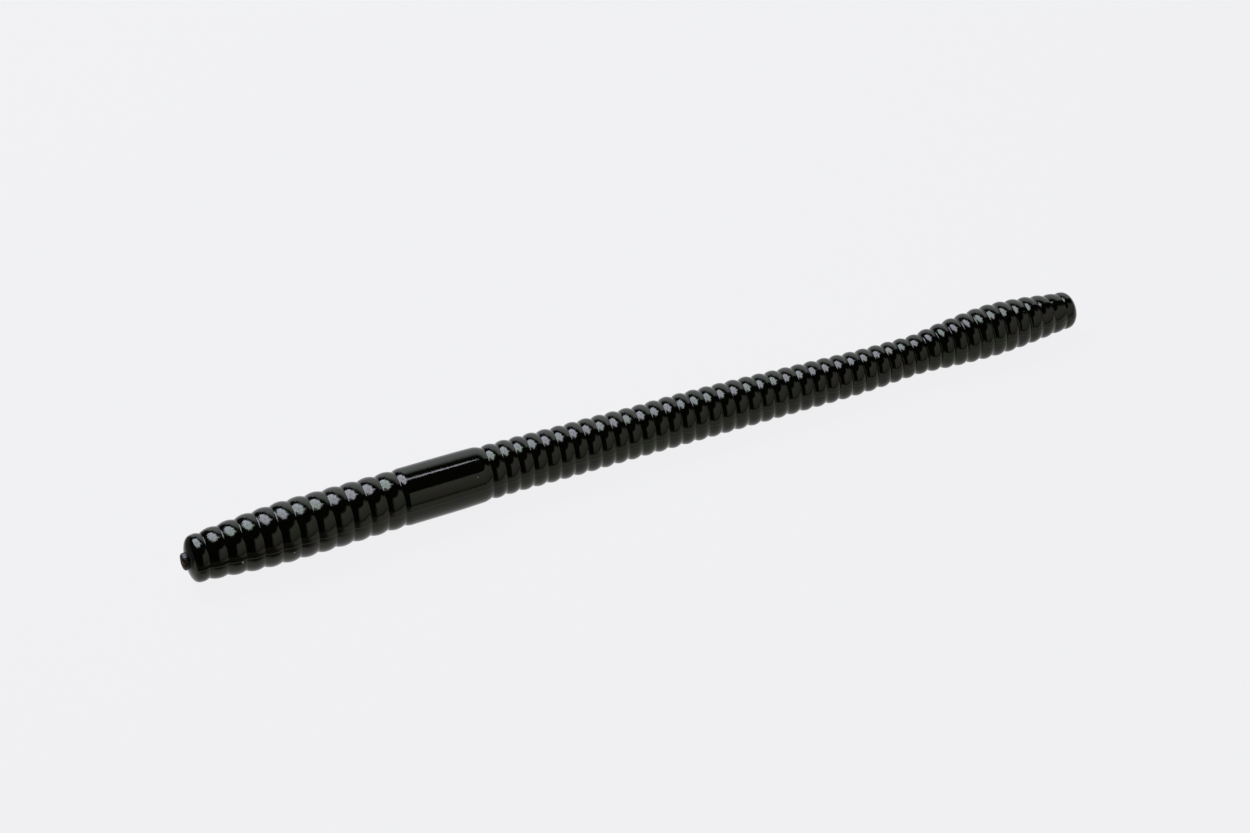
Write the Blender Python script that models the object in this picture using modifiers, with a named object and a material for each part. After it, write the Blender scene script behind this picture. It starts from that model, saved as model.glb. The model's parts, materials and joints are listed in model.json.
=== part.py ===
"""Soft plastic stick worm, lying straight on a table.

The worm is one poured casting of soft plastisol. Its rings are split here at the moulded
grooves, where the casting flexes, so that every ring is a solid of its own. The worm lies
along X with its nose at -X, in a very slight bow. Its thick parts rest on the floor plane
z = 0, and the nose, the waist and the tail stand a little clear of it. The origin is the
middle of the underside. Units are metres.
"""

import math

import bmesh
import bpy

# ---------------------------------------------------------------- driving dimensions
MM = 0.001
HEAD_RINGS = 12             # the nose ring and eleven broad ribs
BODY_RIBS = 44
HEAD_PITCH = 3.07 * MM      # groove to groove along the head
BODY_PITCH = 2.49 * MM      # groove to groove along the body and the tail
BAND_LENGTH = 15.85 * MM    # the smooth collar between head and body
TAIL_CAP_LENGTH = 2.8 * MM
NOSE_DOME = 2.0 * MM        # how far back the nose's rounding reaches
NUB_LENGTH = 0.85 * MM      # the stub that the mould's gate leaves on the nose

HEAD_GROOVE_DEPTH = 0.4 * MM
BODY_GROOVE_DEPTH = 0.45 * MM
CORE_GAP = 0.3 * MM         # between two rings at the worm's axis
RIM_RECESS = 0.36 * MM      # from the middle of a groove to a ring's rim
FACETS = 20                 # flats around a ring, one of them straight down

# Each table runs along the worm: distance from the nose, then a size, both in millimetres.
CROWN_RADIUS = (
    (2.0, 4.03), (5.0, 4.35), (8.0, 4.61), (11.5, 4.89), (17.0, 5.14), (23.0, 5.11),
    (35.0, 4.95), (44.5, 4.90), (52.0, 4.83), (53.6, 4.69), (56.5, 4.65), (66.5, 4.61),
    (73.5, 4.57), (80.5, 4.47), (87.5, 4.49), (98.5, 4.37), (108.5, 4.17), (118.5, 3.99),
    (128.5, 3.70), (132.0, 3.59), (133.8, 3.60), (140.8, 4.25), (145.3, 4.56), (148.3, 4.66),
    (150.8, 4.58), (155.7, 4.20), (160.7, 3.59), (163.3, 3.28),
)
SWAY = (                    # the axis to the side of a straight line, towards +Y
    (0.0, -0.15), (17.0, -0.1), (25.5, -0.01), (35.0, 0.22), (44.5, 0.36), (55.5, 0.48),
    (66.5, 0.42), (85.5, 0.33), (98.5, 0.19), (118.5, -0.05), (124.5, -0.07), (133.5, 0.09),
    (140.5, 0.135), (163.5, 0.16),
)
LIFT = (                    # the crowns' lowest points above the floor
    (0.0, 1.0), (5.0, 0.7), (8.0, 0.45), (11.0, 0.2), (14.0, 0.05), (17.0, 0.0),
    (48.5, 0.0), (53.6, 0.15), (58.5, 0.17), (62.5, 0.1), (68.5, 0.0), (118.5, 0.0),
    (123.5, 0.1), (128.5, 0.31), (133.3, 0.46), (136.5, 0.35), (140.8, 0.13), (145.0, 0.0),
    (148.3, 0.0), (153.2, 0.22), (158.2, 0.63), (163.3, 1.1),
)

# worked out from the above
HEAD_LENGTH = HEAD_RINGS * HEAD_PITCH
BODY_LENGTH = BODY_RIBS * BODY_PITCH
OVERALL_LENGTH = NUB_LENGTH + HEAD_LENGTH + BAND_LENGTH + BODY_LENGTH + TAIL_CAP_LENGTH
NOSE_X = NUB_LENGTH - OVERALL_LENGTH / 2
BAND_X = NOSE_X + HEAD_LENGTH
BODY_X = BAND_X + BAND_LENGTH
TAIL_CAP_X = BODY_X + BODY_LENGTH
HALF_FACET = math.pi / FACETS


def along(table, x):
    """The size that a table gives at world x: a smooth curve through its points."""
    reach = (x - NOSE_X) / MM
    reach = min(max(reach, table[0][0]), table[-1][0])
    span = next(i for i in range(len(table) - 1) if reach <= table[i + 1][0])

    def slope(i):
        before = table[max(i - 1, 0)]
        after = table[min(i + 1, len(table) - 1)]
        return (after[1] - before[1]) / (after[0] - before[0])

    (x0, size0), (x1, size1) = table[span], table[span + 1]
    length = x1 - x0
    t = (reach - x0) / length
    size = (
        (2 * t**3 - 3 * t**2 + 1) * size0
        + (t**3 - 2 * t**2 + t) * length * slope(span)
        + (3 * t**2 - 2 * t**3) * size1
        + (t**3 - t**2) * length * slope(span + 1)
    )
    return size * MM


def crown_radius(x):
    return along(CROWN_RADIUS, x)


def axis_place(x):
    """Where the worm's axis is at world x: (y, z)."""
    return along(SWAY, x), crown_radius(x) + max(along(LIFT, x), 0.0)


# ---------------------------------------------------------------- scene and materials
def clear_scene():
    for item in list(bpy.data.objects):
        bpy.data.objects.remove(item, do_unlink=True)


def make_material(name, colour, roughness):
    material = bpy.data.materials.new(name)
    material.use_nodes = True
    shader = material.node_tree.nodes["Principled BSDF"]
    shader.inputs["Base Color"].default_value = (*colour, 1.0)
    shader.inputs["Roughness"].default_value = roughness
    shader.inputs["Metallic"].default_value = 0.0
    shader.inputs["IOR"].default_value = 1.52
    return material


# ---------------------------------------------------------------- ring profiles
# A profile is a list of (radius, place), where place runs along the worm from the ring's
# head-side groove, or from its end face, towards the tail.
def rib_profile(pitch, depth, crown):
    """A rounded bead whose two faces are shallow cones, so that neighbours can tilt."""
    def bead(place):
        return crown - depth * (1 - 2 * place / pitch) ** 2

    rim, shoulder, flat = RIM_RECESS, 0.28 * pitch, 0.42 * pitch
    rising = [(bead(rim), rim), (bead(shoulder), shoulder), (crown, flat)]
    falling = [(radius, pitch - place) for radius, place in reversed(rising)]
    return [(0.0, CORE_GAP / 2), *rising, *falling, (0.0, pitch - CORE_GAP / 2)]


def nose_profile(crown):
    """The blunt nose: a small flat end face, a round dome, then the tail side of a rib."""
    rib = rib_profile(HEAD_PITCH, HEAD_GROOVE_DEPTH, crown)
    tail_side = rib[5:]
    dome = [(0.42, 0.0), (0.7, 0.16), (0.88, 0.4), (0.97, 0.68), (1.0, 1.0)]
    dome = [(wide * crown, along * NOSE_DOME) for wide, along in dome]
    return [(0.0, 0.0), *dome, *tail_side]


def band_profile(thick, thin):
    """The smooth collar: a short shoulder towards the head, a slight taper and a longer
    shoulder behind."""
    depth = HEAD_GROOVE_DEPTH
    rising = [(thick - 0.65 * depth, RIM_RECESS), (thick - 0.12 * depth, 0.8 * MM), (thick, 1.3 * MM)]
    falling = [(thin, 2.0 * MM), (thin - 0.2 * depth, 1.0 * MM), (thin - 0.8 * depth, RIM_RECESS)]
    falling = [(radius, BAND_LENGTH - place) for radius, place in falling]
    return [(0.0, CORE_GAP / 2), *rising, *falling, (0.0, BAND_LENGTH - CORE_GAP / 2)]


def tail_profile(crown):
    """The blunt tail: a low shoulder, then a round dome with a small flat on its end."""
    length = TAIL_CAP_LENGTH
    rising = [(crown - 0.3 * BODY_GROOVE_DEPTH, RIM_RECESS), (crown, 0.36 * length)]
    dome = [(0.97, 0.58), (0.86, 0.8), (0.65, 0.95), (0.36, 1.0)]
    dome = [(wide * crown, along * length) for wide, along in dome]
    return [(0.0, CORE_GAP / 2), *rising, *dome, (0.0, length)]


# ---------------------------------------------------------------- objects
def turn_ring(name, profile, pivot, offset, material, collection, parent):
    """Turns a profile around the worm's axis. The object's origin is its joint's pivot."""
    outward = 1.0 / math.cos(HALF_FACET)
    mesh = bpy.data.meshes.new(name)
    shape = bmesh.new()
    corners = []
    for radius, place in reversed(profile):
        corners.append(shape.verts.new((radius * outward, 0.0, place + offset)))
    for first, second in zip(corners, corners[1:]):
        shape.edges.new((first, second))
    shape.to_mesh(mesh)
    shape.free()
    mesh.materials.append(material)

    ring = bpy.data.objects.new(name, mesh)
    collection.objects.link(ring)
    ring.parent = parent
    ring.location = pivot
    ring.rotation_mode = "ZYX"
    ring.rotation_euler = (HALF_FACET, math.pi / 2, 0.0)
    screw = ring.modifiers.new("turned", "SCREW")
    screw.axis = "Z"
    screw.angle = 2 * math.pi
    screw.steps = FACETS
    screw.render_steps = FACETS
    screw.use_merge_vertices = True
    screw.merge_threshold = 0.00001
    screw.use_smooth_shade = True
    return ring


def add_head(collection, parent, material):
    """The nose ring and the head ribs. Each hinges on the groove at its tail side."""
    for number in range(1, HEAD_RINGS + 1):
        start = NOSE_X + (number - 1) * HEAD_PITCH
        crown = crown_radius(start + HEAD_PITCH / 2)
        if number == 1:
            name, profile = "nose_cap", nose_profile(crown)
        else:
            name = f"head_rib_{number:02d}"
            profile = rib_profile(HEAD_PITCH, HEAD_GROOVE_DEPTH, crown)
        pivot = (start + HEAD_PITCH, *axis_place(start + HEAD_PITCH / 2))
        turn_ring(name, profile, pivot, -HEAD_PITCH, material, collection, parent)


def add_band(collection, parent, material):
    middle = BAND_X + BAND_LENGTH / 2
    pivot = (middle, *axis_place(middle))
    profile = band_profile(crown_radius(BAND_X + 1.3 * MM), crown_radius(BODY_X - 2.0 * MM))
    turn_ring("smooth_band", profile, pivot, -BAND_LENGTH / 2, material, collection, parent)


def add_body(collection, parent, material):
    """The body ribs and the tail cap. Each hinges on the groove at its head side."""
    for number in range(1, BODY_RIBS + 1):
        start = BODY_X + (number - 1) * BODY_PITCH
        crown = crown_radius(start + BODY_PITCH / 2)
        profile = rib_profile(BODY_PITCH, BODY_GROOVE_DEPTH, crown)
        pivot = (start, *axis_place(start + BODY_PITCH / 2))
        turn_ring(f"body_rib_{number:02d}", profile, pivot, 0.0, material, collection, parent)
    widest = TAIL_CAP_X + 0.36 * TAIL_CAP_LENGTH
    profile = tail_profile(crown_radius(widest))
    pivot = (TAIL_CAP_X, *axis_place(widest))
    turn_ring("tail_cap", profile, pivot, 0.0, material, collection, parent)


def add_gate_nub(collection, parent, material):
    """The torn stub on the nose: a low oval frustum whose broken face is uneven."""
    thickness = NUB_LENGTH - CORE_GAP
    sides = 14
    shape = bmesh.new()
    bmesh.ops.create_cone(
        shape, cap_ends=True, segments=sides, radius1=1.25 * MM, radius2=1.6 * MM, depth=thickness
    )
    torn = [v for v in shape.verts if v.co.z < 0]
    highest = 0.0
    for vert in torn:
        turn = math.atan2(vert.co.y, vert.co.x)
        dip = 0.5 + 0.3 * math.sin(2 * turn + 0.6) + 0.2 * math.sin(5 * turn)
        vert.co.z += 0.32 * MM * dip
        vert.co.x *= 1.0 + 0.10 * math.sin(3 * turn)
        vert.co.y *= 0.86
        highest = min(highest, vert.co.z)
    for vert in torn:
        vert.co.z += -thickness / 2 - highest
    bmesh.ops.recalc_face_normals(shape, faces=shape.faces)
    mesh = bpy.data.meshes.new("gate_nub")
    shape.to_mesh(mesh)
    shape.free()
    mesh.materials.append(material)

    nub = bpy.data.objects.new("gate_nub", mesh)
    collection.objects.link(nub)
    nub.parent = parent
    centre_x = NOSE_X - CORE_GAP - thickness / 2
    nub.location = (centre_x, *axis_place(NOSE_X + HEAD_PITCH / 2))
    nub.rotation_euler = (0.0, math.pi / 2, 0.0)


def main():
    clear_scene()
    collection = bpy.data.collections.new("soft_plastic_worm")
    bpy.context.scene.collection.children.link(collection)
    frame = bpy.data.objects.new("worm_frame", None)
    frame.empty_display_size = 0.01
    collection.objects.link(frame)

    ribbed = make_material("black_plastisol", (0.012, 0.012, 0.010), 0.16)
    smooth = make_material("black_plastisol_smooth", (0.012, 0.012, 0.010), 0.12)
    torn = make_material("torn_plastisol", (0.045, 0.028, 0.010), 0.3)
    add_gate_nub(collection, frame, torn)
    add_head(collection, frame, ribbed)
    add_band(collection, frame, smooth)
    add_body(collection, frame, ribbed)


main()
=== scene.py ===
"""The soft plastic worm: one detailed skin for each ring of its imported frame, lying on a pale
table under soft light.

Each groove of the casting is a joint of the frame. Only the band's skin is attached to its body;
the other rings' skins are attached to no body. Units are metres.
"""

import json
import math

import bmesh
import bpy
import numpy as np
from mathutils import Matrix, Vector


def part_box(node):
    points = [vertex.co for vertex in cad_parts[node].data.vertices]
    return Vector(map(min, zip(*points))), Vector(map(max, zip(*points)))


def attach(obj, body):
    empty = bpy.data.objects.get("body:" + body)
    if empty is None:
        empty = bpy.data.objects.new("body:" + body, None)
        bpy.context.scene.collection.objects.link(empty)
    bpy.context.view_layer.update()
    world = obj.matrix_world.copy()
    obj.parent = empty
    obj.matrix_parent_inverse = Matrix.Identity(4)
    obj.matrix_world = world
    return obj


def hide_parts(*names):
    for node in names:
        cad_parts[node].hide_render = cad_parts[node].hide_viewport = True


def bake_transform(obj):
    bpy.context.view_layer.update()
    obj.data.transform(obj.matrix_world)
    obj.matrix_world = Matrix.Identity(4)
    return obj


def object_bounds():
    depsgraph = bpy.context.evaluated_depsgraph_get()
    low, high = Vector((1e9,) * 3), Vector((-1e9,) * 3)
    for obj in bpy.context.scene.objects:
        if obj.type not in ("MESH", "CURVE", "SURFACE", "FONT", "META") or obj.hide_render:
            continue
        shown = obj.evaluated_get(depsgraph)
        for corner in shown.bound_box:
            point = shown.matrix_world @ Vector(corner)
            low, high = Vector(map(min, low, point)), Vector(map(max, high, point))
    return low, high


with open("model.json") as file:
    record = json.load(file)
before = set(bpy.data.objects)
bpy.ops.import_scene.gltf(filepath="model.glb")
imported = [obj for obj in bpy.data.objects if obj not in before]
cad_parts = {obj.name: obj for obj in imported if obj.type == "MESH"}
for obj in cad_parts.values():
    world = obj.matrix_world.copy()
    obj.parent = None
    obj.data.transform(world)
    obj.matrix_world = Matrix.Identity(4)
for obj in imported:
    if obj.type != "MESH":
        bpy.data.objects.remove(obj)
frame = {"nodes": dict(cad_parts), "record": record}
cad_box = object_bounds()

MM = 0.001

# ---------------------------------------------------------------- the frame's own sizes
NUB = "gate_nub"
BAND = "smooth_band"
BOX = {node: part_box(node) for node in frame["nodes"]}
BODY_OF = {
    node: body
    for body, nodes in frame["record"]["behaviour"]["bodies"].items()
    for node in nodes
}
RINGS = sorted((node for node in BOX if node != NUB), key=lambda node: BOX[node][0].x)
BAND_INDEX = RINGS.index(BAND)
NOSE_X = BOX[RINGS[0]][0].x
TAIL_X = BOX[RINGS[-1]][1].x
GROOVES = [(BOX[a][1].x + BOX[b][0].x) / 2 for a, b in zip(RINGS, RINGS[1:])]
EDGES = [NOSE_X, *GROOVES, TAIL_X]          # ring i runs from EDGES[i] to EDGES[i + 1]
WORM_LENGTH = cad_box[1].x - cad_box[0].x

# ---------------------------------------------------------------- shape
# Each of these tables runs along the worm, by distance from the nose in millimetres.
GROOVE_DEPTHS = (           # in millimetres
    (0, 0.34), (37, 0.34), (54, 0.36), (80, 0.40),
    (110, 0.42), (150, 0.46), (157, 0.38), (163, 0.2),
)
# The rings lean a little tailward at their backs and at their upper fronts, by shares of the
# radius.
BACK_LEANS = (
    (0, 0.05), (6, 0.045), (20, 0.035), (45, 0.035), (55, 0.052), (95, 0.055),
    (115, 0.042), (132, 0.0), (143, 0.0), (155, 0.022), (165, 0.02),
)
TOP_LEANS = ((0, 0.07), (12, 0.055), (40, 0.045), (60, 0.0), (165, 0.0))
# Angles around the worm are from +Y, turning up.
BACK_TURN, TOP_TURN = math.radians(46.0), math.radians(136.0)

GROOVE_FILLET = 0.10 * MM
BAND_TAPER = 0.026          # the share that the band loses in radius from head end to tail end
BAND_SHOULDERS = (1.25 * MM, 1.7 * MM)
NOSE_ROUNDING, TAIL_ROUNDING = 1.8 * MM, 2.1 * MM
NOSE_POWER, TAIL_POWER = 2.5, 2.2       # of the superellipses: 2 is round, more is blunter

WAVE_COUNT = 9
UNEVENNESS = 0.012 * MM
WAVES_ALONG = (0.4 / MM, 2.2 / MM)      # radians to the metre
WAVES_AROUND = (-4, 4)
FULL_TURN = 6.28
DEPTH_VARIATION = (0.94, 1.05)

PARTING_ANGLES = (math.radians(168.5), math.radians(348.5))
PARTING_HEIGHT, PARTING_WIDTH = 0.03 * MM, 0.06 * MM
PARTING_STEPS = (-2.2, -1.3, -0.6, 0.0, 0.6, 1.3, 2.2)      # in parting widths
PARTING_CLEARANCE = 0.6                                     # in parting widths

COLUMNS = 84                # around a ring, before the parting lines' own columns
BEAD_ROWS, BLUNT_ROWS, BAND_ROWS = 12, 18, 26
BEAD_CROWDING = 1.5         # above 1, the rows are closer together in the groove
TOUCHING = 1e-7             # rows closer together than this are one row
POINTED = 1e-6              # an outline that starts or ends below this radius is closed


def smooth_through(places, sizes):
    """A function of x: a smooth curve through the points, and level beyond its ends."""
    places, sizes = np.array(places), np.array(sizes)
    slopes = np.gradient(sizes, places)

    def curve(x):
        x = np.clip(x, places[0], places[-1])
        i = np.clip(np.searchsorted(places, x, side="right") - 1, 0, len(places) - 2)
        span = places[i + 1] - places[i]
        t = (x - places[i]) / span
        return (
            (2 * t**3 - 3 * t**2 + 1) * sizes[i]
            + (t**3 - 2 * t**2 + t) * span * slopes[i]
            + (3 * t**2 - 2 * t**3) * sizes[i + 1]
            + (t**3 - t**2) * span * slopes[i + 1]
        )

    return curve


def from_table(table):
    """A function of x from a table that runs along the worm."""
    return smooth_through([NOSE_X + place * MM for place, _ in table], [size for _, size in table])


def ring_axis():
    """Rows of x, side, radius and lift: the axis and the size of each ring's middle."""
    rows = []
    for node in RINGS:
        low, high = BOX[node]
        rows.append(((low.x + high.x) / 2, (low.y + high.y) / 2, (high.z - low.z) / 2, low.z))
    return np.array(rows)


def crown_stations(rows):
    """The places and sizes of the crowns. The band, which tapers, has two."""
    low, high = BOX[BAND]
    thick = rows[BAND_INDEX, 2]
    ends = [
        (low.x + BAND_SHOULDERS[0], thick),
        (high.x - BAND_SHOULDERS[1], thick * (1 - BAND_TAPER)),
    ]
    sizes = [tuple(row) for row in rows[:, (0, 2)]]
    return np.array(sizes[:BAND_INDEX] + ends + sizes[BAND_INDEX + 1 :])


AXIS = ring_axis()
CROWNS = crown_stations(AXIS)
crown_radius = smooth_through(CROWNS[:, 0], CROWNS[:, 1])
axis_side = smooth_through(AXIS[:, 0], AXIS[:, 1])
crown_lift = smooth_through(AXIS[:, 0], AXIS[:, 3])
groove_depth_at = from_table(GROOVE_DEPTHS)
back_lean_at = from_table(BACK_LEANS)
top_lean_at = from_table(TOP_LEANS)

rng = np.random.default_rng(20)
WAVES = [
    (
        rng.uniform(*WAVES_ALONG),
        rng.uniform(*WAVES_AROUND),
        rng.uniform(*WAVES_AROUND),
        rng.uniform(0, FULL_TURN),
    )
    for _ in range(WAVE_COUNT)
]
DEPTH_SHARE = rng.uniform(*DEPTH_VARIATION, len(GROOVES))


def axis_height(x):
    """The height of the worm's axis above the table."""
    return crown_radius(x) + np.maximum(crown_lift(x), 0.0)


def axis_point(x):
    return (x, float(axis_side(x)), float(axis_height(x)))


def unevenness(x, turn):
    """How far the moulded surface lies below its ideal shape. It is never above it."""
    total = sum(
        np.sin(along * x + up * np.sin(turn) + over * np.cos(turn) + start)
        for along, up, over, start in WAVES
    )
    return UNEVENNESS * (total / len(WAVES) - 1) / 2


def parting_ridge(radius, turn):
    """The fine raised lines where the two halves of the mould met."""
    height = 0.0
    for angle in PARTING_ANGLES:
        away = np.angle(np.exp(1j * (turn - angle))) * radius / PARTING_WIDTH
        height = height + PARTING_HEIGHT * np.exp(-(away**2))
    return height


def turning_angles():
    """Angles around a ring, closer together across the parting lines."""
    even = np.arange(COLUMNS) * 2 * math.pi / COLUMNS
    typical = crown_radius(0.0)
    steps = np.array(PARTING_STEPS) * PARTING_WIDTH / typical
    fine = np.concatenate([angle + steps for angle in PARTING_ANGLES])
    spare = np.abs(np.angle(np.exp(1j * (even[:, None] - fine[None])))).min(1)
    kept = even[spare > PARTING_CLEARANCE * PARTING_WIDTH / typical]
    return np.sort(np.concatenate([kept, fine]) % (2 * math.pi))


ANGLES = turning_angles()


def groove_depth(index):
    """The depth of groove number index, counted from the nose."""
    return float(groove_depth_at(EDGES[index])) * MM * DEPTH_SHARE[index - 1]


def bead_side(length, depth):
    """One side of a rounded bead: (distance from the groove, drop below the crown) pairs, from
    the groove to the crown. The drop is an arc, with a small fillet in the groove."""
    reach = np.linspace(0, 1, BEAD_ROWS) ** BEAD_CROWDING * length
    eased = np.sqrt(reach**2 + GROOVE_FILLET**2) - GROOVE_FILLET
    eased = eased / eased[-1] * length
    arc = (length**2 + depth**2) / (2 * depth)
    drop = arc - np.sqrt(arc**2 - (length - eased) ** 2)
    return [(float(a), float(b)) for a, b in zip(reach, drop)]


def blunt_end(rounding, power):
    """A blunt end from its middle out: (distance from the end, share of the radius) pairs."""
    share = np.sin(np.linspace(0, math.pi / 2, BLUNT_ROWS))
    depth = rounding * (1 - (1 - share**power) ** (1 / power))
    return [(float(a), float(b)) for a, b in zip(depth, share)]


def ring_profile(index):
    """A ring's outline from its head end to its tail end, as (x, radius) pairs."""
    start, end = EDGES[index], EDGES[index + 1]
    is_nose, is_band, is_tail = index == 0, index == BAND_INDEX, index == len(RINGS) - 1
    head_side = BAND_SHOULDERS[0] if is_band else (end - start) / 2
    tail_side = BAND_SHOULDERS[1] if is_band else (end - start) / 2
    if is_nose:
        tail_side = end - start - NOSE_ROUNDING
    if is_tail:
        head_side = end - start - TAIL_ROUNDING
    rows = []
    if is_nose:
        widest = float(crown_radius((start + end) / 2))
        for depth, share in blunt_end(NOSE_ROUNDING, NOSE_POWER):
            rows.append((start + depth, share * widest))
    else:
        for away, drop in bead_side(head_side, groove_depth(index)):
            rows.append((start + away, float(crown_radius(start + away)) - drop))
    if is_band:
        for x in np.linspace(start + head_side, end - tail_side, BAND_ROWS)[1:-1]:
            rows.append((float(x), float(crown_radius(x))))
    back = []
    if is_tail:
        widest = float(crown_radius(start + head_side))
        for depth, share in blunt_end(TAIL_ROUNDING, TAIL_POWER):
            back.append((end - depth, share * widest))
    else:
        for away, drop in bead_side(tail_side, groove_depth(index + 1)):
            back.append((end - away, float(crown_radius(end - away)) - drop))
    back.reverse()
    if abs(rows[-1][0] - back[0][0]) < TOUCHING:
        back = back[1:]
    return rows + back


# ---------------------------------------------------------------- materials
class Nodes:
    """A material's node tree, with short ways to add nodes."""

    def __init__(self, name):
        self.material = bpy.data.materials.new(name)
        self.material.use_nodes = True
        self.tree = self.material.node_tree
        self.shader = self.tree.nodes["Principled BSDF"]

    def add(self, kind, values=None, **settings):
        """Adds a node. A value is either a number or colour, or another node's socket."""
        node = self.tree.nodes.new(kind)
        for key, value in settings.items():
            setattr(node, key, value)
        for key, value in (values or {}).items():
            if isinstance(value, bpy.types.NodeSocket):
                self.tree.links.new(value, node.inputs[key])
            else:
                node.inputs[key].default_value = value
        return node

    def link(self, out, socket):
        self.tree.links.new(out, self.shader.inputs[socket])

    def rest_place(self):
        """The point's place on the worm at rest, in millimetres from the axis."""
        return self.add("ShaderNodeAttribute", attribute_name="rest_place").outputs["Vector"]

    def math(self, operation, first, second=None):
        values = {0: first} if second is None else {0: first, 1: second}
        return self.add("ShaderNodeMath", values, operation=operation).outputs[0]

    def noise(self, scale, detail, roughness):
        """Noise over the rest place, with its scales along X, Y and Z to the millimetre."""
        stretched = self.add(
            "ShaderNodeVectorMath", {0: self.rest_place(), 1: scale}, operation="MULTIPLY"
        )
        values = {
            "Vector": stretched.outputs[0], "Scale": 1.0, "Detail": detail, "Roughness": roughness,
        }
        return self.add("ShaderNodeTexNoise", values).outputs["Fac"]

    def remap(self, value, low, high, to_low, to_high):
        return self.add(
            "ShaderNodeMapRange", {0: value, 1: low, 2: high, 3: to_low, 4: to_high}
        ).outputs[0]

    def mix(self, share, first, second):
        """Mixes two colours. The first is a colour or another node's socket."""
        if not isinstance(first, bpy.types.NodeSocket):
            first = (*first, 1.0)
        values = {0: share, 6: first, 7: (*second, 1.0)}
        return self.add("ShaderNodeMix", values, data_type="RGBA").outputs[2]

    def bump(self, height, distance, before=None):
        values = {"Height": height, "Distance": distance, "Strength": 1.0}
        if before is not None:
            values["Normal"] = before
        return self.add("ShaderNodeBump", values).outputs[0]


PLASTISOL_IOR = 1.34
DYE_GREEN, DYE_PURPLE = (0.0006, 0.0008, 0.0003), (0.0009, 0.0006, 0.0005)
GLINT_GREEN, GLINT_PURPLE = (0.88, 1.0, 0.68), (1.0, 0.95, 0.80)    # tints of the reflections
SPECK_COLOUR = (0.32, 0.31, 0.28)
# A lighter grey painted along the parting flash: a painted highlight for the bright line that the
# ridge reflects.
SEAM_HIGHLIGHT_COLOUR = (0.022, 0.021, 0.017)
TORN_DARK, TORN_AMBER = (0.001, 0.0008, 0.0004), (0.022, 0.011, 0.001)
GLOSS_ROUGHNESS, TORN_ROUGHNESS = (0.03, 0.065), (0.05, 0.22)

# Each noise is (scales to the millimetre along X, Y and Z, detail, roughness).
DYE_PATCHES = ((0.35, 0.35, 0.35), 3.0, 0.5)
GLINT_CLOUDS = ((0.28, 0.5, 0.5), 2.0, 0.5)
SMUDGES = ((0.8, 0.8, 0.8), 4.0, 0.6)
TURNING_MARKS = ((5.0, 0.5, 0.5), 3.0, 0.6)
GRAIN = ((3.6, 3.6, 3.6), 4.0, 0.65)
TORN_PATCHES = ((1.6, 1.6, 1.6), 3.0, 0.5)
TORN_GRAIN = ((4.0, 4.0, 4.0), 5.0, 0.7)

# Heights of the turning marks and of the grain.
RIBBED_RELIEF = (0.010 * MM, 0.014 * MM)
SMOOTH_RELIEF = (0.001 * MM, 0.009 * MM)
SPECK_HEIGHT = 0.05 * MM
TORN_HEIGHT = 0.08 * MM
SEAM_HIGHLIGHT_WIDTH = 0.07           # half the width of the painted highlight on the flash, in millimetres

# Bubbles and dust: (millimetres along from the middle, degrees around, size in millimetres).
BAND_SPECKS = ((-32.1, 138, 0.09), (-43.5, 200, 0.06), (-38.0, 60, 0.07))
RIBBED_SPECKS = (
    (-73.7, 172, 0.16), (-65.1, 180, 0.09), (-75.9, 118, 0.06),
    (-4.0, 120, 0.10), (1.1, 124, 0.07), (-0.2, 102, 0.06),
    (8.5, 130, 0.08), (22.2, 132, 0.06), (33.5, 138, 0.06),
    (60.6, 80, 0.09), (64.5, 146, 0.06), (65.1, 166, 0.08),
    (68.3, 170, 0.10), (71.8, 112, 0.06), (-58.0, 20, 0.08),
    (-12.0, 300, 0.09), (40.0, 215, 0.08), (55.0, 350, 0.07),
)
SPECK_EDGE = (0.6, 1.4)     # in speck sizes: white inside the first, clear outside the second


def speck_mask(nodes, specks):
    """A mask that is 1 on each speck."""
    place = nodes.rest_place()
    mask = None
    for along, degrees, size in specks:
        turn = math.radians(degrees)
        reach = float(crown_radius(along * MM)) / MM
        centre = (along, reach * math.cos(turn), reach * math.sin(turn))
        away = nodes.add("ShaderNodeVectorMath", {0: place, 1: centre}, operation="DISTANCE")
        inner, outer = SPECK_EDGE
        spot = nodes.remap(away.outputs["Value"], size * inner, size * outer, 1.0, 0.0)
        mask = spot if mask is None else nodes.math("MAXIMUM", mask, spot)
    return mask


def seam_highlight_mask(nodes):
    """A mask that is 1 on the thin flash of the parting lines, where a lighter line is painted as
    a highlight.
    """
    parts = nodes.add("ShaderNodeSeparateXYZ", {0: nodes.rest_place()})
    angle = PARTING_ANGLES[0]
    across = nodes.math("MULTIPLY", parts.outputs[1], -math.sin(angle))
    up = nodes.math("MULTIPLY", parts.outputs[2], math.cos(angle))
    away = nodes.math("ABSOLUTE", nodes.math("ADD", across, up))
    return nodes.remap(away, SEAM_HIGHLIGHT_WIDTH * 0.4, SEAM_HIGHLIGHT_WIDTH, 1.0, 0.0)


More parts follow.
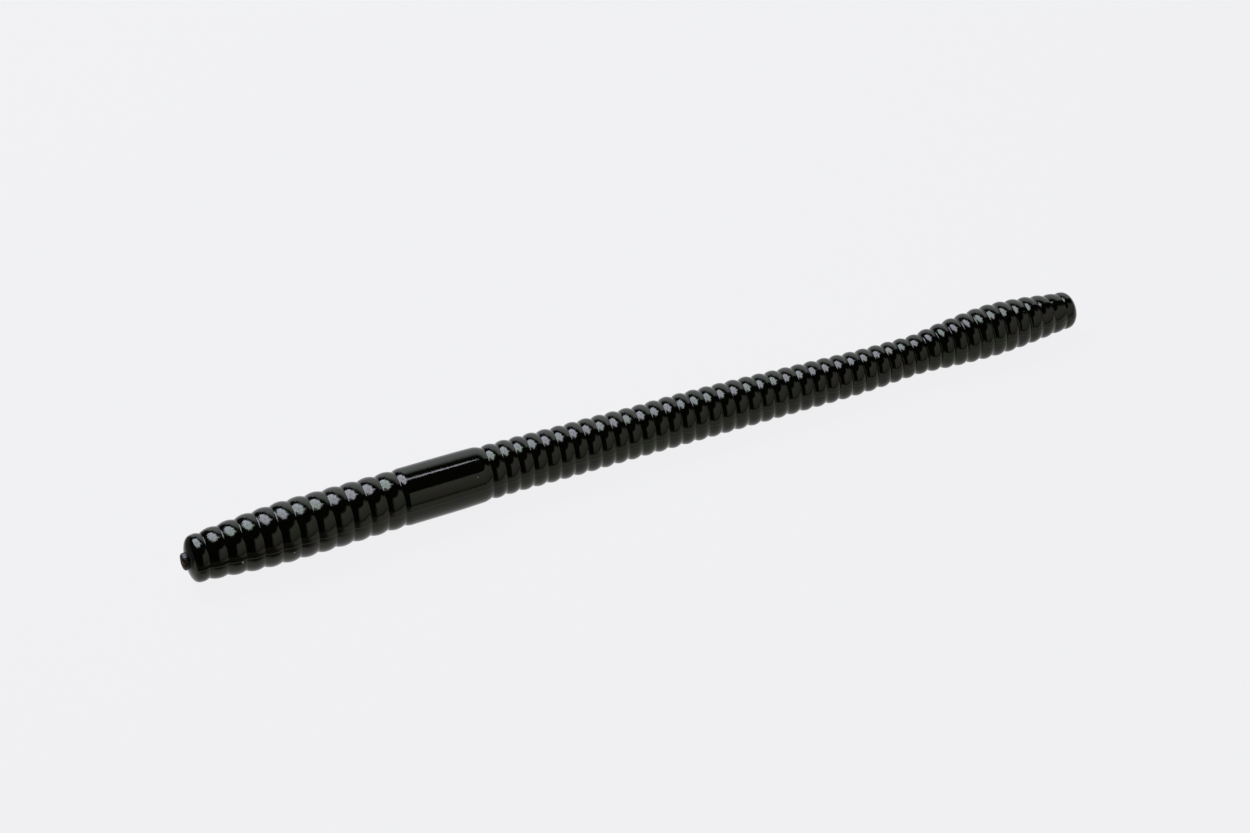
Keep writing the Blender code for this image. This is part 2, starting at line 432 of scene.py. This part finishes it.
def plastisol(name, relief, specks):
    """Glossy black plastisol, with specks in its surface and a painted highlight along its parting
    flash.
    """
    nodes = Nodes(name)
    marks_height, grain_height = relief
    mask = speck_mask(nodes, specks)
    patches = nodes.remap(nodes.noise(*DYE_PATCHES), 0.35, 0.65, 0.0, 1.0)
    dye_and_seam_highlight = nodes.mix(patches, DYE_GREEN, DYE_PURPLE)
    # A lighter line painted along the parting flash: a painted highlight.
    dye_and_seam_highlight = nodes.mix(seam_highlight_mask(nodes), dye_and_seam_highlight, SEAM_HIGHLIGHT_COLOUR)
    nodes.link(nodes.mix(mask, dye_and_seam_highlight, SPECK_COLOUR), "Base Color")
    smudges = nodes.noise(*SMUDGES)
    nodes.link(nodes.remap(smudges, 0.3, 0.75, *GLOSS_ROUGHNESS), "Roughness")
    nodes.shader.inputs["IOR"].default_value = PLASTISOL_IOR
    clouds = nodes.remap(nodes.noise(*GLINT_CLOUDS), 0.38, 0.62, 0.0, 1.0)
    nodes.link(nodes.mix(clouds, GLINT_GREEN, GLINT_PURPLE), "Specular Tint")
    normal = nodes.bump(nodes.noise(*TURNING_MARKS), marks_height)
    normal = nodes.bump(nodes.noise(*GRAIN), grain_height, before=normal)
    normal = nodes.bump(mask, SPECK_HEIGHT, before=normal)
    nodes.link(normal, "Normal")
    return nodes.material


def torn_plastisol():
    """The torn face of the gate, dark with amber where it is thin."""
    nodes = Nodes("torn plastisol")
    patches = nodes.noise(*TORN_PATCHES)
    share = nodes.remap(patches, 0.40, 0.62, 0.0, 1.0)
    nodes.link(nodes.mix(share, TORN_DARK, TORN_AMBER), "Base Color")
    nodes.link(nodes.remap(patches, 0.3, 0.7, *TORN_ROUGHNESS), "Roughness")
    nodes.shader.inputs["IOR"].default_value = PLASTISOL_IOR
    nodes.link(nodes.bump(nodes.noise(*TORN_GRAIN), TORN_HEIGHT), "Normal")
    return nodes.material


# ---------------------------------------------------------------- pieces
def tube_faces(rounds, count):
    """The faces of a closed tube. Its points are in rounds of count points each, and after them
    come the middles of its first end and its last end."""
    faces = []
    for i in range(rounds - 1):
        for j in range(count):
            k = (j + 1) % count
            faces.append((i * count + j, (i + 1) * count + j, (i + 1) * count + k, i * count + k))
    last = (rounds - 1) * count
    for j in range(count):
        k = (j + 1) % count
        faces.append((rounds * count, j, k))
        faces.append((rounds * count + 1, last + k, last + j))
    return faces


def add_skin(name, points, faces, place, material, rims=()):
    """A smooth piece that knows its rest place in metres. A rim is a set of points around an end,
    where the skin turns sharply inward."""
    mesh = bpy.data.meshes.new(name)
    mesh.from_pydata(points.tolist(), [], faces)
    mesh.polygons.foreach_set("use_smooth", np.ones(len(mesh.polygons), bool))
    shape = bmesh.new()
    shape.from_mesh(mesh)
    shape.verts.ensure_lookup_table()
    for rim in rims:
        for edge in shape.edges:
            if edge.verts[0].index in rim and edge.verts[1].index in rim:
                edge.smooth = False
    bmesh.ops.recalc_face_normals(shape, faces=shape.faces)
    shape.to_mesh(mesh)
    shape.free()
    attribute = mesh.attributes.new("rest_place", "FLOAT_VECTOR", "POINT")
    attribute.data.foreach_set("vector", (place / MM).astype(np.float32).ravel())
    mesh.materials.append(material)
    piece = bpy.data.objects.new(name, mesh)
    bpy.context.scene.collection.objects.link(piece)
    return piece


def turned_piece(name, index, material):
    """Turns a ring's outline about the worm's axis, and closes its ends."""
    rows = ring_profile(index)
    x = np.array([row[0] for row in rows])
    radius = np.array([row[1] for row in rows])
    pointed_head, pointed_tail = radius[0] < POINTED, radius[-1] < POINTED
    inner = slice(1 if pointed_head else 0, len(rows) - (1 if pointed_tail else 0))
    xs, rs = x[inner], radius[inner]
    count, rounds = len(ANGLES), len(xs)
    grid_x = np.repeat(xs[:, None], count, 1)
    turn = np.repeat(ANGLES[None], rounds, 0)
    reach = rs[:, None] + unevenness(grid_x, turn) + parting_ridge(rs[:, None], turn)
    back_lean = back_lean_at(grid_x) * np.cos(turn - BACK_TURN)
    top_lean = top_lean_at(grid_x) * np.cos(turn - TOP_TURN)
    leaning_x = np.clip(grid_x + (back_lean + top_lean) * reach, NOSE_X, TAIL_X)
    side = axis_side(grid_x) + reach * np.cos(turn)
    height = axis_height(grid_x) + reach * np.sin(turn)
    points = np.stack([leaning_x, side, height], -1).reshape(-1, 3)
    points = np.concatenate([points, np.array([axis_point(x[0]), axis_point(x[-1])])])
    place = points.copy()
    place[:, 1] -= axis_side(points[:, 0])
    place[:, 2] -= axis_height(points[:, 0])
    rims = []
    if not pointed_head:
        rims.append(set(range(count)))
    if not pointed_tail:
        rims.append(set(range((rounds - 1) * count, rounds * count)))
    return add_skin(name, points, tube_faces(rounds, count), place, material, rims)


def attach_ring(piece, index):
    """Attaches the band's skin to its own body, leaves the other rings' skins attached to no body,
    and hides the ring's part.
    """
    node = RINGS[index]
    own = BODY_OF[node]
    _, y, z = axis_point((EDGES[index] + EDGES[index + 1]) / 2)
    if index == BAND_INDEX:
        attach(piece, own)
    elif index < BAND_INDEX:
        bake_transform(piece)
    else:
        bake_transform(piece)
    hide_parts(node)


NUB_SIDES = 56
# From the nose out to the lip and into the torn hollow: (share of the length from the nose,
# share of the radius, share of the raggedness).
NUB_OUTLINE = (
    (-0.35, 0.98, 0.0), (0.02, 0.97, 0.1), (0.20, 0.95, 0.3), (0.45, 0.94, 0.6),
    (0.65, 0.90, 0.9), (0.82, 0.81, 1.1), (0.92, 0.70, 1.2), (0.94, 0.60, 1.2),
    (0.84, 0.50, 1.0), (0.74, 0.38, 0.8), (0.72, 0.25, 0.6), (0.80, 0.12, 0.3),
)
NUB_ENDS = (-0.3, 0.80)     # the middles of its two ends, as shares of the length from the nose
RIM_RAGGEDNESS, RIM_LUMPS = 0.10, 9
LIP_RAGGEDNESS, LIP_LUMPS = 0.16, 7
LIP_SHARE = 0.22            # how much of the lip's raggedness runs along the worm
NUB_LIMIT = 0.995           # so that the ragged shape stays inside the solid's box


def torn_nub(material):
    """The stub that the mould's gate left: a ragged collar with a torn, hollow face."""
    low, high = BOX[NUB]
    centre = ((low.y + high.y) / 2, (low.z + high.z) / 2)
    wide, tall = (high.y - low.y) / 2, (high.z - low.z) / 2
    length = NOSE_X - low.x
    draw = np.random.default_rng(5)
    turn = np.arange(NUB_SIDES) * 2 * math.pi / NUB_SIDES

    def ragged(size, lumps):
        total = np.zeros(NUB_SIDES)
        for times in range(2, 2 + lumps):
            start = draw.uniform(0, FULL_TURN)
            total += np.sin(times * turn + start) * draw.uniform(0.4, 1.0) / times
        return size * total

    rim = ragged(RIM_RAGGEDNESS, RIM_LUMPS)
    lip = ragged(LIP_RAGGEDNESS, LIP_LUMPS)
    points = []
    for along, share, uneven in NUB_OUTLINE:
        reach = np.clip(share * (1 + rim * uneven), -NUB_LIMIT, NUB_LIMIT)
        depth = np.minimum(length * (along + lip * uneven * LIP_SHARE), length * NUB_LIMIT)
        side = centre[0] + reach * wide * np.cos(turn)
        height = centre[1] + reach * tall * np.sin(turn)
        points.append(np.stack([NOSE_X - depth, side, height], -1))
    points.append([[NOSE_X - length * share, *centre] for share in NUB_ENDS])
    points = np.concatenate(points)
    # The outline runs toward -X, so the faces turn the other way.
    faces = [(face[0], *face[:0:-1]) for face in tube_faces(len(NUB_OUTLINE), NUB_SIDES)]
    place = points - np.array([0.0, *centre])
    nub = add_skin("torn_nub", points, faces, place, material)
    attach(nub, BODY_OF[NUB])
    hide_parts(NUB)


def dress_worm():
    ribbed = plastisol("black plastisol, ribbed", RIBBED_RELIEF, RIBBED_SPECKS)
    smooth = plastisol("black plastisol, smooth", SMOOTH_RELIEF, BAND_SPECKS)
    for index, node in enumerate(RINGS):
        material = smooth if index == BAND_INDEX else ribbed
        attach_ring(turned_piece(f"skin_{node}", index, material), index)
    torn_nub(torn_plastisol())


# ---------------------------------------------------------------- stage and light
WHITE = (1.0, 1.0, 1.0)
BLACK = (0.0, 0.0, 0.0)
WORLD_GLOW = 0.02

FLOOR_HALF = 5.0
FLOOR_HEIGHT = -0.00001
FLOOR_ALBEDO, FLOOR_ROUGHNESS = 0.015, 0.25
FLOOR_COLOUR, FLOOR_GLOW = (0.985, 0.985, 1.0), 0.865

WALL_DISTANCE, WALL_SPAN = 4.6, (-0.02, 4.0)
WALL_STEP = 6               # degrees
WALL_GLOW = 0.80

# Compass angles are 0 toward +Y and 90 toward +X. Each card's bands go from the lowest to the
# highest: (first azimuth, last azimuth, low elevation, high elevation, strength).
BACKDROP_DISTANCE, BACKDROP_COLOUR = 0.8, (0.94, 1.0, 1.05)
BACKDROP_BANDS = (
    (-12, 62, 0.3, 9, 0.95),
    (-8, 62, 9, 20, 1.25),
    (2, 62, 20, 32, 1.55),
    (9, 62, 32, 40, 1.35),
    (13, 62, 40, 46, 0.5),
)
SIDE_DISTANCE, SIDE_COLOUR = 0.38, (1.0, 1.0, 1.04)
SIDE_BANDS = (
    (76, 193.5, 4, 10, 0.45),
    (84, 193.5, 10, 20, 0.68),
    (92, 193.5, 20, 33, 0.8),
    (98, 193.5, 33, 43, 0.95),
    (98, 193.5, 43, 53, 1.05),
)
BAND_STATIONS = 9           # along a band

# Each sheet of painted shade is a dark strip on the table that stands in for the worm's shade
# there:
# (name, low corner, high corner, (x where clear, x where dark), (y where clear, y where dark)).
PAINTED_SHADE_SHEETS = (
    ("head_painted_shade", (-0.30, -0.30), (-0.047, -0.0085), (-0.048, -0.066), (-0.0088, -0.0125)),
    ("nose_painted_shade", (-0.30, -0.004), (-0.080, 0.30), (-0.081, -0.088), (-0.003, 0.003)),
)
# The height of the painted shade sheets above the table, and the darkest share of their shade.
SHADE_SHEET_HEIGHT = 0.0004
SHADE_SHEET_SHARE = 0.85

# The corners of the key card, as the parts along X and Y of their directions from the worm.
KEY_OUTLINE = (
    (0.30, 0.340), (0.10, 0.312), (0.02, 0.19), (-0.18, 0.07), (-0.38, 0.10), (-0.50, 0.30),
    (-0.54, 0.56), (-0.38, 0.80), (-0.15, 0.78), (0.03, 0.60), (0.10, 0.370),
)
KEY_DISTANCE = 0.5
KEY_COLOUR, KEY_GLOW = (0.93, 0.97, 1.30), 15.5
KEY_CELLS = 14.0            # the fabric's folds, to the metre
KEY_FOLD = 0.2              # how wide a fold's soft edge is, in cells
KEY_RANGE = (0.3, 1.1)      # shares of the glow in a fold and between folds


def toward(azimuth, elevation):
    """The direction at a compass angle and a height."""
    a, e = math.radians(azimuth), math.radians(elevation)
    return Vector((math.sin(a) * math.cos(e), math.cos(a) * math.cos(e), math.sin(e)))


def overhead(x, y):
    """The upward direction whose parts along X and Y are given."""
    return Vector((x, y, math.sqrt(1 - x * x - y * y)))


def stage_item(name, corners, faces, material):
    mesh = bpy.data.meshes.new(name)
    mesh.from_pydata([tuple(corner) for corner in corners], [], faces)
    mesh.materials.append(material)
    item = bpy.data.objects.new(name, mesh)
    bpy.context.scene.collection.objects.link(item)
    return item


def glowing(name, colour, strength):
    material = bpy.data.materials.new(name)
    material.use_nodes = True
    tree = material.node_tree
    tree.nodes.remove(tree.nodes["Principled BSDF"])
    glow = tree.nodes.new("ShaderNodeEmission")
    glow.inputs["Color"].default_value = (*colour, 1.0)
    glow.inputs["Strength"].default_value = strength
    tree.links.new(glow.outputs[0], tree.nodes["Material Output"].inputs["Surface"])
    return material


def card(name, corners, faces, colour, strength):
    """A glowing card. The camera doesn't see it, so that it hides the worm from no side."""
    item = stage_item(name, corners, faces, glowing(name, colour, strength))
    item.visible_camera = False
    return item


def sky_card(name, distance, bands, colour):
    """A curved card around the worm, made of bands."""
    for number, (first, last, low, high, strength) in enumerate(bands):
        turns = np.linspace(first, last, BAND_STATIONS)
        corners = [toward(turn, height) * distance for turn in turns for height in (low, high)]
        faces = [(2 * i, 2 * i + 2, 2 * i + 3, 2 * i + 1) for i in range(len(turns) - 1)]
        card(f"{name}_{number}", corners, faces, colour, strength)


def far_wall():
    """A pale wall all round, seen past the table's far edge in low views, and in no reflection."""
    corners = []
    for turn in range(0, 360, WALL_STEP):
        foot = toward(turn, 0).xy * WALL_DISTANCE
        corners += [Vector((*foot, height)) for height in WALL_SPAN]
    count = len(corners)
    faces = [(i, (i + 2) % count, (i + 3) % count, i + 1) for i in range(0, count, 2)]
    wall = card("wall", corners, faces, WHITE, WALL_GLOW)
    wall.visible_camera = True
    wall.visible_glossy = wall.visible_diffuse = wall.visible_shadow = False


def painted_shade_sheet(name, low, high, *fades):
    """A dark strip of painted shade on the table, with soft edges, that stands in for the worm's
    shade there and darkens only what the worm reflects.
    """
    corners = [(low[0], low[1]), (high[0], low[1]), (high[0], high[1]), (low[0], high[1])]
    corners = [(x, y, SHADE_SHEET_HEIGHT) for x, y in corners]
    strip = card(name, corners, [(0, 1, 2, 3)], BLACK, 0.0)
    strip.visible_diffuse = strip.visible_shadow = False
    tree = strip.active_material.node_tree
    place = tree.nodes.new("ShaderNodeTexCoord")
    parts = tree.nodes.new("ShaderNodeSeparateXYZ")
    tree.links.new(place.outputs["Object"], parts.inputs[0])
    share = None
    for axis, (clear, dark) in enumerate(fades):
        fade = tree.nodes.new("ShaderNodeMapRange")
        fade.interpolation_type = "SMOOTHSTEP"
        fade.inputs["From Min"].default_value = clear
        fade.inputs["From Max"].default_value = dark
        tree.links.new(parts.outputs[axis], fade.inputs["Value"])
        product = tree.nodes.new("ShaderNodeMath")
        product.operation = "MULTIPLY"
        product.inputs[1].default_value = SHADE_SHEET_SHARE
        if share is not None:
            tree.links.new(share, product.inputs[1])
        tree.links.new(fade.outputs[0], product.inputs[0])
        share = product.outputs[0]
    clear = tree.nodes.new("ShaderNodeBsdfTransparent")
    mixed = tree.nodes.new("ShaderNodeMixShader")
    tree.links.new(share, mixed.inputs[0])
    tree.links.new(clear.outputs[0], mixed.inputs[1])
    tree.links.new(tree.nodes["Emission"].outputs[0], mixed.inputs[2])
    tree.links.new(mixed.outputs[0], tree.nodes["Material Output"].inputs["Surface"])


def key_card():
    """The main light: a large soft box above the worm, behind it and to its head side. Its fabric
    is in folds."""
    outline = [overhead(x, y) for x, y in KEY_OUTLINE]
    centre = sum(outline, Vector()) / len(outline)
    corners = [corner.normalized() * KEY_DISTANCE for corner in (centre, *outline)]
    count = len(outline)
    faces = [(0, 1 + i, 1 + (i + 1) % count) for i in range(count)]
    tree = card("key", corners, faces, KEY_COLOUR, KEY_GLOW).active_material.node_tree
    cells = tree.nodes.new("ShaderNodeTexVoronoi")
    cells.feature = "DISTANCE_TO_EDGE"
    cells.inputs["Scale"].default_value = KEY_CELLS
    place = tree.nodes.new("ShaderNodeTexCoord")
    tree.links.new(place.outputs["Object"], cells.inputs["Vector"])
    level = tree.nodes.new("ShaderNodeMapRange")
    level.inputs["From Max"].default_value = KEY_FOLD
    level.inputs["To Min"].default_value = KEY_GLOW * KEY_RANGE[0]
    level.inputs["To Max"].default_value = KEY_GLOW * KEY_RANGE[1]
    tree.links.new(cells.outputs["Distance"], level.inputs["Value"])
    tree.links.new(level.outputs[0], tree.nodes["Emission"].inputs["Strength"])


def table():
    """The pale table that the worm lies on. It glows evenly, so it stays plain and bright."""
    material = bpy.data.materials.new("table")
    material.use_nodes = True
    inputs = material.node_tree.nodes["Principled BSDF"].inputs
    inputs["Base Color"].default_value = (FLOOR_ALBEDO, FLOOR_ALBEDO, FLOOR_ALBEDO, 1.0)
    inputs["Roughness"].default_value = FLOOR_ROUGHNESS
    inputs["Specular IOR Level"].default_value = 0.0
    inputs["Emission Color"].default_value = (*FLOOR_COLOUR, 1.0)
    inputs["Emission Strength"].default_value = FLOOR_GLOW
    signs = ((-1, -1), (1, -1), (1, 1), (-1, 1))
    corners = [(x * FLOOR_HALF, y * FLOOR_HALF, FLOOR_HEIGHT) for x, y in signs]
    stage_item("table", corners, [(0, 1, 2, 3)], material)


def studio_world():
    world = bpy.data.worlds.new("studio")
    bpy.context.scene.world = world
    world.use_nodes = True
    background = world.node_tree.nodes["Background"]
    background.inputs[0].default_value = (*WHITE, 1.0)
    background.inputs[1].default_value = WORLD_GLOW


def build_stage():
    table()
    studio_world()
    sky_card("backdrop", BACKDROP_DISTANCE, BACKDROP_BANDS, BACKDROP_COLOUR)
    sky_card("side", SIDE_DISTANCE, SIDE_BANDS, SIDE_COLOUR)
    far_wall()
    # Dark sheets of painted shade on the table, seen only in the worm's reflections.
    for strip in PAINTED_SHADE_SHEETS:
        painted_shade_sheet(*strip)
    key_card()


# ---------------------------------------------------------------- camera
CAMERA_TURN = -22.3         # degrees from looking along +Y
CAMERA_HEIGHT = 44.0        # degrees above the table
CAMERA_DISTANCE = 3.049 * WORM_LENGTH
CAMERA_AIM = (-0.0033 * WORM_LENGTH, 0.0535 * WORM_LENGTH, 0.0)
LENS, SENSOR = 83.2, 36.0   # millimetres
CLIPPING = (0.01, 50.0)


def build_camera():
    a, e = math.radians(CAMERA_TURN), math.radians(CAMERA_HEIGHT)
    back = Vector((math.sin(a) * math.cos(e), -math.cos(a) * math.cos(e), math.sin(e)))
    data = bpy.data.cameras.new("camera")
    data.lens, data.sensor_width = LENS, SENSOR
    data.clip_start, data.clip_end = CLIPPING
    camera = bpy.data.objects.new("camera", data)
    camera.location = Vector(CAMERA_AIM) + back * CAMERA_DISTANCE
    camera.rotation_euler = (-back).to_track_quat("-Z", "Y").to_euler()
    bpy.context.scene.collection.objects.link(camera)
    bpy.context.scene.camera = camera


dress_worm()
build_stage()
build_camera()
bpy.context.scene.view_settings.view_transform = "Standard"
